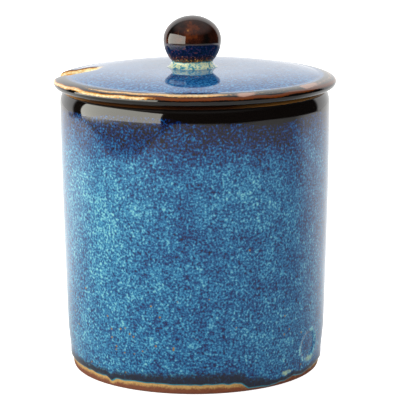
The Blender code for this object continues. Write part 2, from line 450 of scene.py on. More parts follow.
def dome_height(radius):
    """Height of the lid's top above its underside."""
    return LID_SHOULDER_HEIGHT + LID_DOME_RISE * (1.0 - (radius / LID_SHOULDER_RADIUS) ** LID_DOME_POWER)


def lid_outline():
    """From the middle of the top, out to the rim, under it, round the locating ring and back."""
    points = [(r, dome_height(r)) for r in np.linspace(0.0, LID_SHOULDER_RADIUS, 48)]
    centre = (LID_SHOULDER_RADIUS, LID_WIDEST_HEIGHT)
    radii = (LID_RADIUS - LID_SHOULDER_RADIUS, LID_SHOULDER_HEIGHT - LID_WIDEST_HEIGHT)
    points += arc(centre, radii, math.pi / 2, 0.0, 16)[1:]
    centre = (LID_UNDERSIDE_RADIUS, LID_WIDEST_HEIGHT)
    radii = (LID_RADIUS - LID_UNDERSIDE_RADIUS, LID_WIDEST_HEIGHT)
    points += arc(centre, radii, 0.0, -math.pi / 2, 10)[1:]
    outer = RING_OUTER_RADIUS
    inner = outer - RING_WIDTH
    half = RING_WIDTH / 2
    points.append((outer, 0.0))
    points += arc((outer - half, 1.2 * MM - RING_DEPTH), (half, 1.2 * MM), 0.0, -math.pi, 12)
    points += [(r, dome_height(r) - LID_THICKNESS) for r in np.linspace(inner, 0.0, 20)]
    return np.array(points) + np.array([0.0, LID_SEAT])


def knob_outline():
    """From the top of the ball, round it, in to the neck and out to the foot, and across the base."""
    centre = (0.0, KNOB_EQUATOR)
    points = arc(centre, (KNOB_RADIUS, KNOB_TOP - KNOB_EQUATOR), math.pi / 2, 0.0, 32)
    points[0] = (0.0, KNOB_TOP)
    points += arc(centre, (KNOB_RADIUS, KNOB_LOWER_DROP), 0.0, KNOB_NECK_ANGLE, 18)[1:]
    top = np.array(points[-1])
    across, down = KNOB_RADIUS * math.sin(KNOB_NECK_ANGLE), KNOB_LOWER_DROP * math.cos(KNOB_NECK_ANGLE)
    inward = np.array((across, -down))
    inward = inward / np.linalg.norm(inward)
    foot = np.array((KNOB_FOOT_RADIUS, KNOB_BASE))
    points += bezier(top, top + inward * 1.2 * MM, foot + (-1.3 * MM, 0.25 * MM), foot, 20)[1:]
    points.append((0.0, KNOB_BASE))
    return np.array(points)


class SolidOfLid:
    """How far any point lies outside the notched lid: the turned outline, cut by the knife notch."""

    CELL = 0.15 * MM
    EASE = 1.8 * MM      # how softly the notch's edges are rounded

    def __init__(self):
        outline = lid_outline()
        self.low = np.array([0.0, outline[:, 1].min() - 3 * MM])
        shape = ((LID_RADIUS + 3 * MM) / self.CELL, (np.ptp(outline[:, 1]) + 6 * MM) / self.CELL)
        r, z = (self.low[i] + self.CELL * np.arange(int(shape[i])) for i in (0, 1))
        grid = np.stack(np.meshgrid(r, z, indexing="ij"), axis=-1)
        distance = np.full(grid.shape[:2], 1.0)
        inside = np.zeros(grid.shape[:2], dtype=bool)
        for a, b in zip(outline[:-1], outline[1:]):
            run = b - a
            t = np.clip(((grid - a) @ run) / (run @ run), 0.0, 1.0)
            distance = np.minimum(distance, np.linalg.norm(grid - a - t[..., None] * run, axis=-1))
            crosses = (a[1] > grid[..., 1]) != (b[1] > grid[..., 1])
            rise = b[1] - a[1] if b[1] != a[1] else 1.0
            at = a[0] + (grid[..., 1] - a[1]) * (b[0] - a[0]) / rise
            inside ^= crosses & (grid[..., 0] < at)
        self.table = np.where(inside, -distance, distance)
        along = np.array([math.cos(NOTCH_AZIMUTH), math.sin(NOTCH_AZIMUTH)])
        self.along = along
        self.end = along * (NOTCH_INNER_RADIUS + NOTCH_WIDTH / 2)

    def from_notch(self, co):
        """Distance from the wall of the notch, in plan."""
        rel = co[:, :2] - self.end
        t = np.maximum(rel @ self.along, 0.0)
        return np.linalg.norm(rel - t[:, None] * self.along, axis=1) - NOTCH_WIDTH / 2

    def __call__(self, co):
        rz = np.stack([np.hypot(co[:, 0], co[:, 1]), co[:, 2]], axis=1)
        place = (rz - self.low) / self.CELL
        place = np.clip(place, 0.0, np.array(self.table.shape) - 1.001)
        i, j = place.astype(int).T
        u, v = (place % 1.0).T
        t = self.table
        here = t[i, j] * (1 - u) + t[i + 1, j] * u
        over = t[i, j + 1] * (1 - u) + t[i + 1, j + 1] * u
        turned = here * (1 - v) + over * v
        cut = -self.from_notch(co)
        blend = np.maximum(self.EASE - np.abs(turned - cut), 0.0) / self.EASE
        return np.maximum(turned, cut) + blend * blend * self.EASE / 4


def settle(co, solid, rounds):
    """Move points onto the surface of a solid."""
    probe = 0.06 * MM
    for _ in range(rounds):
        here = solid(co)
        slope = np.stack([(solid(co + probe * axis) - solid(co - probe * axis)) / (2 * probe)
                          for axis in np.eye(3)], axis=1)
        size = np.maximum((slope ** 2).sum(axis=1), 0.25)
        co = co - np.clip(here, -0.5 * MM, 0.5 * MM)[:, None] * slope / size[:, None]
    return co


def evaluated_copy(obj, name):
    """A new mesh object with the modifiers applied; the old object goes."""
    depsgraph = bpy.context.evaluated_depsgraph_get()
    mesh = bpy.data.meshes.new_from_object(obj.evaluated_get(depsgraph))
    mesh.name = name
    made = bpy.data.objects.new(name, mesh)
    bpy.context.scene.collection.objects.link(made)
    bpy.data.objects.remove(obj, do_unlink=True)
    return made


# ---------------------------------------------------------------- materials


def node(tree, kind, inputs=None, stops=None, **settings):
    """Add a node, with its settings, its ramp's stops, and its inputs' values or links."""
    made = tree.nodes.new(kind)
    for key, value in settings.items():
        setattr(made, key, value)
    if stops:
        elements = made.color_ramp.elements
        while len(elements) < len(stops):
            elements.new(0.5)
        for element, (position, colour) in zip(elements, stops):
            element.position = position
            element.color = (*colour, 1.0)
    for key, value in (inputs or {}).items():
        if isinstance(value, bpy.types.NodeSocket):
            tree.links.new(value, made.inputs[key])
        else:
            made.inputs[key].default_value = value
    return made


def rgba(colour):
    """A colour with full alpha."""
    return (*colour, 1.0)


def new_material(name):
    """An empty node material with a Principled shader, and its tree and shader."""
    material = bpy.data.materials.new(name)
    material.use_nodes = True
    tree = material.node_tree
    return material, tree, tree.nodes["Principled BSDF"]


def layered(tree, base, layers):
    """Lay colours over a base, each through its own mask."""
    for colour, mask in layers:
        mix = node(tree, "ShaderNodeMix", {0: mask, 6: base, 7: colour}, data_type="RGBA")
        base = mix.outputs[2]
    return base


def blotted(tree, place, name, grain, scale, low, high):
    """A soft-edged mask from the amount stored under a name, broken up by noise of the given grain size."""
    amount = node(tree, "ShaderNodeAttribute", attribute_name=name)
    noise = node(tree, "ShaderNodeTexNoise", {
        "Vector": place, "Scale": 1.0 / grain, "Detail": 3.0, "Roughness": 0.6})
    broken = node(tree, "ShaderNodeMath", {
        0: noise.outputs["Fac"], 1: scale, 2: amount.outputs["Fac"]}, operation="MULTIPLY_ADD")
    mask = node(tree, "ShaderNodeMapRange", {
        "Value": broken.outputs[0], "From Min": low + scale / 2, "From Max": high + scale / 2},
        interpolation_type="SMOOTHSTEP")
    return mask.outputs[0]


def flecked(tree, place, spacing, shade, stops):
    """Colour of a glaze crowded with fine crystals. A higher shade crowds the pale ones."""
    fleck = node(tree, "ShaderNodeTexNoise", {
        "Vector": place, "Scale": 1.0 / spacing, "Detail": 1.0, "Roughness": 0.55})
    cloud = node(tree, "ShaderNodeTexNoise", {
        "Vector": place, "Scale": 0.13 / spacing, "Detail": 3.0, "Roughness": 0.55})
    clouded = node(tree, "ShaderNodeMath", {
        0: cloud.outputs["Fac"], 1: 0.36, 2: fleck.outputs["Fac"]}, operation="MULTIPLY_ADD")
    shaded = node(tree, "ShaderNodeMath", {0: clouded.outputs[0], 1: shade}, operation="ADD")
    spread = node(tree, "ShaderNodeMapRange", {
        "Value": shaded.outputs[0], "From Min": 0.34, "From Max": 1.02})
    return node(tree, "ShaderNodeValToRGB", {"Fac": spread.outputs[0]}, stops=stops).outputs["Color"]


def lid_flecks(tree, place, sizes, colours, shade):
    """The lid's clearer blue, which also meets the knob's foot. Its flecks are a little wider apart."""
    return flecked(tree, place, 1.15 * sizes.speckle, shade, [
        (0.10, colours.lid_night), (0.50, colours.lid_blue), (0.90, colours.lid_frost)])


def glaze_or_clay(tree, bare):
    """Roughness: glossy where the glaze lies, matt where the mask says that the clay is bare."""
    return node(tree, "ShaderNodeMapRange", {
        "Value": bare, "To Min": GLAZE_ROUGHNESS, "To Max": CLAY_ROUGHNESS}).outputs[0]


def glassy(material, colour, roughness, height, distance):
    """The fired glass surface that all the glazes share, with its shallow orange peel."""
    tree = material.node_tree
    shader = tree.nodes["Principled BSDF"]
    tree.links.new(colour, shader.inputs["Base Color"])
    tree.links.new(roughness, shader.inputs["Roughness"])
    shader.inputs["IOR"].default_value = GLASS_IOR
    relief = node(tree, "ShaderNodeBump", {"Height": height, "Distance": distance, "Strength": 1.0})
    tree.links.new(relief.outputs["Normal"], shader.inputs["Normal"])


def pot_glaze(sizes, colours):
    """Rutile glaze over tenmoku on stoneware, dipped.

    Gives fine pale-blue flecks in deep blue glass, thinning out to glassy black at the lip, a dark
    roll with a turquoise edge where the glaze stopped running, and matt brown clay at the foot.
    """
    material, tree, _ = new_material("rutile_glaze_over_tenmoku")
    place = node(tree, "ShaderNodeTexCoord").outputs["Object"]
    # towards the lip the shade falls, so fewer and fewer flecks are left over the iron glaze
    shade = node(tree, "ShaderNodeAttribute", attribute_name="shade")
    blue = flecked(tree, place, sizes.speckle, shade.outputs["Fac"], [
        (0.00, colours.plum), (0.14, colours.ink), (0.27, colours.night), (0.47, colours.cobalt),
        (0.70, colours.rutile), (1.00, colours.frost)])
    iron = blotted(tree, place, "iron", 0.9 * MM, 0.5, 0.4, 0.6)
    lip = blotted(tree, place, "lip_break", 1.2 * MM, 0.7, 0.35, 0.65)
    warmth = node(tree, "ShaderNodeAttribute", attribute_name="lip_warmth")
    lip_colour = layered(tree, rgba(colours.umber), [(rgba(colours.honey), warmth.outputs["Fac"])])

    # where the running glaze stopped: a thick dark roll, then a thin turquoise edge
    above = node(tree, "ShaderNodeAttribute", attribute_name="above_edge").outputs["Fac"]
    roll = blotted(tree, place, "roll", 0.9 * MM, 1.1, 0.1, 0.9)
    edge = node(tree, "ShaderNodeMapRange", {"Value": above, "From Min": 0.75, "From Max": 0.2},
                interpolation_type="SMOOTHSTEP").outputs[0]
    pools = blotted(tree, place, "pools", 1.5 * MM, 0.8, 0.45, 0.8)

    # bare clay: flashed sandy just below the glaze, brown at the bottom, with grit of about 0.7 mm
    flash = blotted(tree, place, "flash", 0.7 * MM, 1.1, 0.1, 0.9)
    clay = layered(tree, rgba(colours.clay), [(rgba(colours.sand), flash)])
    grog = node(tree, "ShaderNodeTexNoise", {"Vector": place, "Scale": 1.4 / MM, "Detail": 2.0})
    grit = node(tree, "ShaderNodeMapRange", {"Value": grog.outputs["Fac"], "To Min": 0.55, "To Max": 1.45})
    clay = node(tree, "ShaderNodeMix", {0: 1.0, 6: clay, 7: grit.outputs[0]}, data_type="RGBA",
                blend_type="MULTIPLY").outputs[2]
    bare = node(tree, "ShaderNodeMapRange", {"Value": above, "From Min": 0.1, "From Max": -0.1},
                interpolation_type="SMOOTHSTEP").outputs[0]

    # iron specks burnt through the blue, about half a millimetre across
    cell = node(tree, "ShaderNodeTexVoronoi", {"Vector": place, "Scale": 1.0 / (1.6 * MM)})
    dot = node(tree, "ShaderNodeMapRange", {
        "Value": cell.outputs["Distance"], "From Min": 0.30, "From Max": 0.18})
    lot = node(tree, "ShaderNodeSeparateColor", {0: cell.outputs["Color"]})
    chance = node(tree, "ShaderNodeAttribute", attribute_name="speck")
    drawn = node(tree, "ShaderNodeMath", {0: lot.outputs[0], 1: chance.outputs["Fac"]},
                 operation="LESS_THAN")
    speck = node(tree, "ShaderNodeMath", {0: dot.outputs[0], 1: drawn.outputs[0]}, operation="MULTIPLY")

    colour = layered(tree, blue, [
        (rgba(colours.ember), speck.outputs[0]), (rgba(colours.tenmoku), iron), (lip_colour, lip),
        (rgba(colours.depth), roll), (rgba(colours.celadon), pools), (rgba(colours.turquoise), edge),
        (clay, bare)])
    peel = node(tree, "ShaderNodeTexNoise", {"Vector": place, "Scale": 1.0 / (6.0 * MM), "Detail": 1.0})
    glassy(material, colour, glaze_or_clay(tree, bare), peel.outputs["Fac"], 0.008 * MM)
    return material


def lid_glaze(sizes, colours):
    """The same two glazes on the lid: clear deep blue on top.

    Every edge shows the iron glaze breaking to rust and honey, and the underside is glassy black.
    """
    material, tree, _ = new_material("rutile_glaze_on_lid")
    place = node(tree, "ShaderNodeTexCoord").outputs["Object"]
    shade = node(tree, "ShaderNodeAttribute", attribute_name="shade")
    blue = lid_flecks(tree, place, sizes, colours, shade.outputs["Fac"])
    grain = 0.8 * MM
    iron = blotted(tree, place, "iron", grain, 0.5, 0.3, 0.7)
    rust = blotted(tree, place, "rust", grain, 0.9, 0.3, 0.7)
    honey = blotted(tree, place, "honey", grain, 0.9, 0.3, 0.7)
    cream = blotted(tree, place, "cream", 1.1 * MM, 1.2, 0.2, 0.8)
    shell = blotted(tree, place, "shell", 1.4 * MM, 0.6, 0.3, 0.7)
    bare = node(tree, "ShaderNodeAttribute", attribute_name="bare").outputs["Fac"]
    colour = layered(tree, blue, [
        (rgba(colours.tenmoku), iron), (rgba(colours.rust), rust), (rgba(colours.honey), honey),
        (rgba(colours.cream), cream), (rgba(colours.shell), shell), (rgba(colours.sand), bare)])
    peel = node(tree, "ShaderNodeTexNoise", {"Vector": place, "Scale": 1.0 / (7.0 * MM), "Detail": 1.0})
    glassy(material, colour, glaze_or_clay(tree, bare), peel.outputs["Fac"], 0.006 * MM)
    return material


def knob_glaze(sizes, colours):
    """Tenmoku on the ball, with milky glaze pooled round the neck.

    Gives a brown-black glassy ball whose lower half is painted deep blue with rust specks, a painted
    reflection of the blue lid below it, speckled with honey underneath, over a marbled collar.
    """
    material, tree, _ = new_material("tenmoku_knob")
    place = node(tree, "ShaderNodeTexCoord").outputs["Object"]
    height = node(tree, "ShaderNodeSeparateXYZ", {0: place}).outputs["Z"]
    # the glazes' edges wander up and down by this much
    wander = 1.6 * MM
    wave = node(tree, "ShaderNodeTexNoise", {"Vector": place, "Scale": 1.0 / (3.0 * MM), "Detail": 3.0})
    level = node(tree, "ShaderNodeMath", {0: wave.outputs["Fac"], 1: wander, 2: height},
                 operation="MULTIPLY_ADD").outputs[0]

    def below(top, bottom):
        """A mask that grows from one height above the knob's base down to another."""
        middle = KNOB_BASE + wander / 2
        reach = {"Value": level, "From Min": middle + top, "From Max": middle + bottom}
        return node(tree, "ShaderNodeMapRange", reach, interpolation_type="SMOOTHSTEP").outputs[0]

    cloud = node(tree, "ShaderNodeTexNoise", {
        "Vector": place, "Scale": 1.0 / (7.0 * MM), "Detail": 4.0, "Roughness": 0.6})
    ball = node(tree, "ShaderNodeValToRGB", {"Fac": cloud.outputs["Fac"]}, stops=[
        (0.40, colours.tenmoku), (0.58, CLOUDED_BROWN), (0.72, colours.chestnut)])
    crystals = node(tree, "ShaderNodeTexNoise", {"Vector": place, "Scale": 1.0 / (0.75 * MM), "Detail": 1.0})
    honeyed = node(tree, "ShaderNodeValToRGB", {"Fac": crystals.outputs["Fac"]}, stops=[
        (0.42, CHARRED_BROWN), (0.60, colours.rust), (0.76, colours.honey)])
    # painted reflection: the ball's lower half is coloured deep blue for the blue lid mirrored in it
    painted_lid_reflection = node(tree, "ShaderNodeValToRGB", {"Fac": crystals.outputs["Fac"]}, stops=[
        (0.42, PAINTED_LID_REFLECTION_DARK), (0.60, PAINTED_LID_REFLECTION_BLUE), (0.78, colours.rust)])
    marble = node(tree, "ShaderNodeTexNoise", {
        "Vector": place, "Scale": 1.0 / (1.9 * MM), "Detail": 4.0, "Roughness": 0.65, "Distortion": 0.6})
    milky = node(tree, "ShaderNodeValToRGB", {"Fac": marble.outputs["Fac"]}, stops=[
        (0.32, MARBLE_TEAL), (0.43, MARBLE_LAGOON), (0.52, colours.ivory), (0.64, MARBLE_SEA)])
    skirt = node(tree, "ShaderNodeAttribute", attribute_name="skirt")

    # honey has run down the ball in streaks four times as long as they are wide
    drawn_out = node(tree, "ShaderNodeMapping", {"Vector": place, "Scale": (1.0, 1.0, 0.25)}).outputs[0]
    fired = node(tree, "ShaderNodeTexNoise", {
        "Vector": drawn_out, "Scale": 1.0 / (1.6 * MM), "Detail": 2.0})
    run = node(tree, "ShaderNodeMapRange", {
        "Value": fired.outputs["Fac"], "From Min": 0.66, "From Max": 0.74})
    where = node(tree, "ShaderNodeAttribute", attribute_name="streaks")
    streak = node(tree, "ShaderNodeMath", {0: run.outputs[0], 1: where.outputs["Fac"]}, operation="MULTIPLY")

    colour = layered(tree, ball.outputs["Color"], [
        # painted reflection of the blue lid on the ball's lower half
        (painted_lid_reflection.outputs["Color"], below(9.6 * MM, 8.6 * MM)),
        (honeyed.outputs["Color"], below(5.4 * MM, 3.4 * MM)),
        (rgba(colours.turquoise), below(2.5 * MM, 2.2 * MM)),
        (milky.outputs["Color"], below(2.3 * MM, 1.9 * MM)),
        (lid_flecks(tree, place, sizes, colours, -0.05), skirt.outputs["Fac"]),
        (rgba(colours.honey), streak.outputs[0])])
    rough = node(tree, "ShaderNodeMapRange", {
        "Value": crystals.outputs["Fac"], "To Min": 0.03, "To Max": 0.06})
    glassy(material, colour, rough.outputs[0], cloud.outputs["Fac"], 0.02 * MM)
    return material


def paper_material():
    """Matt white studio paper that also glows, so that it stays pale right up to the foot.

    It glows most behind the crock, a painted pool of light where the studio's back light falls on it.
    """
    material, tree, shader = new_material("studio_paper")
    shader.inputs["Base Color"].default_value = rgba([PAPER_GREY] * 3)
    shader.inputs["Roughness"].default_value = 0.9
    shader.inputs["Emission Color"].default_value = (1.0, 1.0, 1.0, 1.0)
    place = node(tree, "ShaderNodeTexCoord").outputs["Object"]
    back = node(tree, "ShaderNodeSeparateXYZ", {0: place}).outputs["Y"]
    # painted light: the glow rises towards the back, standing in for the back light falling on the paper
    # there
    painted_back_glow = node(tree, "ShaderNodeMapRange", {
        "Value": back, "From Min": -0.02, "From Max": 0.12, "To Min": 0.0, "To Max": PAPER_GLOW})
    seen = node(tree, "ShaderNodeLightPath").outputs["Is Camera Ray"]
    glow = node(tree, "ShaderNodeMath", {0: seen, 1: PAPER_GLOW, 2: painted_back_glow.outputs[0]},
                operation="MULTIPLY_ADD")
    tree.links.new(glow.outputs[0], shader.inputs["Emission Strength"])
    return material


def table_material():
    """Dark stained wood, which shows only as the dark clearings that it gives the glaze's reflections."""
    material, tree, shader = new_material("stained_table")
    place = node(tree, "ShaderNodeTexCoord").outputs["Object"]
    # the grain's bands are about 33 mm wide
    grain = node(tree, "ShaderNodeTexNoise", {"Vector": place, "Scale": 0.03 / MM, "Detail": 3.0})
    wood = node(tree, "ShaderNodeValToRGB", {"Fac": grain.outputs["Fac"]}, stops=[
        (0.3, STAINED_WOOD), (0.7, STAINED_WOOD_PALE)])
    tree.links.new(wood.outputs["Color"], shader.inputs["Base Color"])
    shader.inputs["Roughness"].default_value = 0.6
    return material


# ---------------------------------------------------------------- operators


# Patches on the pot's wall: middle's bearing and height, half width in degrees, half height in mm, amount
MILKY_PATCHES = [
    (-62, 72, 26, 30, 0.06), (-30, 70, 18, 14, 0.04), (35, 16, 16, 12, 0.07), (-42, 50, 16, 30, 0.06),
    (-14, 38, 10, 10, 0.06), (-66, 14, 14, 9, 0.05), (20, 74, 12, 10, 0.03), (150, 60, 40, 25, 0.06),
    (-140, 40, 35, 22, 0.06),
]
DARK_PATCHES = [
    (0, 58, 12, 8, 0.03), (48, 62, 16, 26, 0.03), (22, 87, 32, 9, 0.055), (-66, 34, 14, 10, 0.02),
    (-32, 90, 12, 6, 0.03), (12, 10, 20, 4, 0.05), (22, 6.5, 26, 2.5, 0.05), (110, 45, 30, 30, 0.04),
    (-105, 70, 25, 22, 0.03),
]
SPECK_PATCHES = [
    (-28, 20, 18, 10, 0.22), (46, 22, 9, 9, 0.16), (3, 26, 10, 10, 0.04), (-66, 26, 10, 14, 0.05),
    (130, 25, 22, 14, 0.25), (-150, 40, 20, 16, 0.20),
]
POOL_PATCHES = [
    (44, 4.6, 5, 1.6, 0.75), (62, 7.0, 9, 1.8, 0.7), (39, 14, 2.5, 6, 0.4), (-120, 5, 6, 1.5, 0.7),
]
# The same for the honey streaks on the ball, with heights from its widest line
STREAK_PATCHES = [(10, 3, 26, 3.5, 0.8)]

# Values chosen round the pot: (bearing in degrees, value)
BLUE_THINS_AT = [
    (-180, 92), (-60, 93), (-30, 89), (-10, 90), (10, 91), (30, 93), (60, 95), (100, 93), (180, 92)]
LIP_WARMTH = [
    (-180, 0.3), (-75, 0.6), (-50, 0.05), (0, 0.0), (15, 0.02), (35, 0.3), (80, 0.4), (180, 0.3)]
ROLL_HEIGHT = [
    (-180, 4), (-80, 3), (-40, 3.4), (0, 4.6), (20, 4.6), (30, 4.2), (38, 2.2), (80, 2), (130, 4), (180, 4)]
CLAY_FLASHED = [(-180, 1), (18, 1), (24, 0.25), (62, 0.25), (75, 1), (180, 1)]

# The same round the lid's rim, where the iron glaze breaks in an upper and a lower honey band
UPPER_HONEY = [
    (-180, 0.5), (-100, 0.5), (-62, 0.0), (-50, 0.5), (-40, 0.8), (-18, 0.85), (5, 0.95), (15, 0.4),
    (60, 0.3), (120, 0.6), (180, 0.5)]
UPPER_HALF_WIDTH = [
    (-180, 14), (-50, 6), (-35, 9), (-10, 13), (8, 13), (16, 7), (60, 7), (180, 14)]
LOWER_HONEY = [
    (-180, 0.8), (-90, 0.9), (-60, 1.0), (-22, 0.9), (-12, 0.15), (6, 0.2), (14, 0.1), (60, 0.1),
    (100, 0.7), (180, 0.8)]
PINK_BLUSH = [
    (-180, 0), (14, 0), (20, 1), (27, 0.3), (44, 0.3), (48, 0.1), (52, 1.0), (58, 0.8), (66, 0.4),
    (85, 0.4), (110, 0), (180, 0)]


def patches(bearing, height, wanted):
    """The sum of soft patches at each point of the wall."""
    total = np.zeros_like(bearing)
    for at, up, wide, tall, amount in wanted:
        aside = (np.degrees(bearing) - at + 180.0) % 360.0 - 180.0
        total += amount * np.exp(-(aside / wide) ** 2 - ((height / MM - up) / tall) ** 2)
    return total


def round_the_crock(bearing, wanted):
    """A value read from a list of (bearing in degrees, value) pairs."""
    angles, values = zip(*wanted)
    return np.interp(np.degrees((bearing + math.pi) % math.tau - math.pi), angles, values)


class CROCK_OT_pot(bpy.types.Operator):
    """Build the glazed pot."""

    bl_idname = "crock.pot"
    bl_label = "Pot"

    def execute(self, context):
        sizes, colours = context.scene.crock_sizes, context.scene.crock_colours
        outline = resampled(pot_outline(), 0.35 * MM)
        pot = turned_piece("glazed_pot", outline, 480, pot_relief(sizes))
        co = vertices_of(pot)
        bearing, height = bearing_of(co), co[:, 2]
        radius = np.hypot(co[:, 0], co[:, 1])
        outside = radius > outer_radius(0.0) - 1.5 * FOOT_EDGE_ROUND
        above = (height - glaze_edge(bearing)) / MM
        above = np.where(outside, above, np.where(height < 2 * MM, -1.0, 20.0))
        paint(pot, "above_edge", above)
        wavy = ripple(bearing, 21, 2, 14, 0.6)
        shade = patches(bearing, height, MILKY_PATCHES) - patches(bearing, height, DARK_PATCHES)
        mm = height / MM + 1.2 * wavy
        thinning = round_the_crock(bearing, BLUE_THINS_AT)
        shade = shade - 0.30 * ramp(mm, thinning - 10.5, thinning + 10.5)
        # the glaze ran thin and pale over the seal's collar, and pooled inside it
        from_seal = np.hypot((bearing - SEAL_BEARING) * POT_RADIUS, height - SEAL_HEIGHT) / sizes.seal_radius
        ring = np.exp(-((from_seal - 1.03) / 0.12) ** 2) * (0.6 + 0.4 * np.cos(bearing * 40.0 - height / MM))
        shade = shade + 0.34 * ring - 0.04 * (1.0 - ramp(from_seal, 0.4, 0.8))
        paint(pot, "shade", shade + 0.012 * ripple(bearing + height / (60 * MM), 22, 2, 16, 0.6))
        paint(pot, "iron", np.where(outside, ramp(mm, 98.0, 101.0), 0.0))
        paint(pot, "lip_break", ramp(height, POT_HEIGHT - 1.6 * MM, POT_HEIGHT - 0.9 * MM))
        paint(pot, "lip_warmth", round_the_crock(bearing, LIP_WARMTH))
        roll_height = round_the_crock(bearing, ROLL_HEIGHT)
        roll = 0.85 - 0.85 * ramp(above, 0.45 * roll_height, 1.5 * roll_height)
        paint(pot, "roll", np.where(outside, roll, 0.0))
        flashed = round_the_crock(bearing, CLAY_FLASHED)
        paint(pot, "flash", flashed * (ramp(above, -2.5, 0.3) - 0.6 * ramp(-height / MM, -1.5, -0.5)))
        paint(pot, "pools", patches(bearing, height, POOL_PATCHES) * outside)
        paint(pot, "speck", (0.002 + patches(bearing, height, SPECK_PATCHES)) * outside)
        pot.data.materials.append(pot_glaze(sizes, colours))
        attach(pot, "crock")
        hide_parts("crock")
        return {"FINISHED"}


class CROCK_OT_lid(bpy.types.Operator):
    """Build the lid with its knife notch."""

    bl_idname = "crock.lid"
    bl_label = "Lid"

    def execute(self, context):
        sizes, colours = context.scene.crock_sizes, context.scene.crock_colours
        blank = bpy.data.objects.new("lid_blank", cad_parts["lid"].data.copy())
        context.scene.collection.objects.link(blank)
        remesh = blank.modifiers.new("Even", "REMESH")
        remesh.mode = "VOXEL"
        remesh.voxel_size = 0.55 * MM
        lid = evaluated_copy(blank, "glazed_lid")
        solid = SolidOfLid()
        co = settle(vertices_of(lid), solid, 6)
        lid.data.vertices.foreach_set("co", co.ravel())
        lid.data.update()
        lid.data.shade_smooth()
        radius = np.hypot(co[:, 0], co[:, 1])
        up = (co[:, 2] - LID_SEAT) / MM
        bearing = bearing_of(co)
        notch = solid.from_notch(co) / MM
        # degrees up the rim's upper curve: 0 at the widest line, 90 at the shoulder
        rise = (co[:, 2] - LID_SEAT - LID_WIDEST_HEIGHT) / (LID_SHOULDER_HEIGHT - LID_WIDEST_HEIGHT)
        reach = (radius - LID_SHOULDER_RADIUS) / (LID_RADIUS - LID_SHOULDER_RADIUS)
        turn = np.where(radius > LID_SHOULDER_RADIUS, np.degrees(np.arctan2(rise, reach)), 90.0)
        turn = turn + 4.0 * ripple(bearing, 31, 3, 30, 0.5)
        above = up > -0.2

        def band(middle, half):
            """A band round the rim's upper curve, at so many degrees up it."""
            return np.where(above, np.exp(-(np.abs(turn - middle) / half) ** 3), 0.0)

        upper = round_the_crock(bearing, UPPER_HONEY)
        upper_half = round_the_crock(bearing, UPPER_HALF_WIDTH)
        lower = round_the_crock(bearing, LOWER_HONEY)
        edge = 1.0 - ramp(np.abs(notch - 0.9), 0.3, 0.8)
        wall = 1.0 - ramp(notch, 0.2, 0.9)
        # the glaze also thins in a tongue on the top, beyond the notch's round end
        past = (co[:, :2] - solid.end) / MM
        run = -past @ solid.along
        aside = past @ np.array([-solid.along[1], solid.along[0]])
        tongue = (1.0 - ramp(run, 6.0, 10.5)) * ramp(run, 2.0, 5.5)
        tongue = tongue * (1.0 - ramp(np.abs(aside + 2.0), 1.5, 3.5)) * ramp(up, 3.0, 4.0)
        paint(lid, "shade", np.full(len(co), -0.03))
        paint(lid, "iron", np.where(up < 2.0, 1.0, ramp(radius / MM, 46.5, 49.0)))
        paint(lid, "rust", np.maximum(band(23, 14), edge * (up > 2.5)))
        paint(lid, "honey", np.maximum.reduce([
            upper * band(54, upper_half), lower * band(18, 13), wall, 0.7 * tongue]))
        paint(lid, "cream", np.maximum.reduce([
            0.55 * upper * band(55, 0.75 * upper_half), 0.7 * ramp(lower, 0.45, 0.85) * band(18, 8),
            0.6 * wall * (up > 2.4), 0.6 * tongue]))
        paint(lid, "shell", round_the_crock(bearing, PINK_BLUSH) * band(52, 20))
        paint(lid, "bare", ramp(-up, RING_DEPTH / MM - 1.0, RING_DEPTH / MM - 0.6))
        lid.data.materials.clear()
        lid.data.materials.append(lid_glaze(sizes, colours))
        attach(lid, "lid")
        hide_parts("lid")
        return {"FINISHED"}


class CROCK_OT_knob(bpy.types.Operator):
    """Build the ball knob."""

    bl_idname = "crock.knob"
    bl_label = "Knob"

    def execute(self, context):
        sizes, colours = context.scene.crock_sizes, context.scene.crock_colours
        knob = turned_piece("glazed_knob", resampled(knob_outline(), 0.25 * MM), 200)
        co = vertices_of(knob)
        out = np.hypot(co[:, 0], co[:, 1])
        paint(knob, "skirt", ramp(out, 8.9 * MM, 9.7 * MM) * (co[:, 2] < KNOB_BASE + 1.5 * MM))
        paint(knob, "streaks", patches(bearing_of(co), co[:, 2] - KNOB_EQUATOR, STREAK_PATCHES))
        co[:, 2] -= KNOB_SINK * ramp(-co[:, 2], -KNOB_BASE - 1.5 * MM, -KNOB_BASE)
        co += np.array([KNOB_AXIS.x, KNOB_AXIS.y, 0.0])
        knob.data.vertices.foreach_set("co", co.ravel())
        knob.data.update()
        knob.data.materials.append(knob_glaze(sizes, colours))
        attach(knob, "lid")
        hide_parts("knob")
        return {"FINISHED"}


def ring_points(turns, reach):
    """Points round the studio paper's middle, at the given bearings and distances."""
    return list(zip(PAPER_CENTRE[0] + reach * np.sin(turns), PAPER_CENTRE[1] - reach * np.cos(turns)))


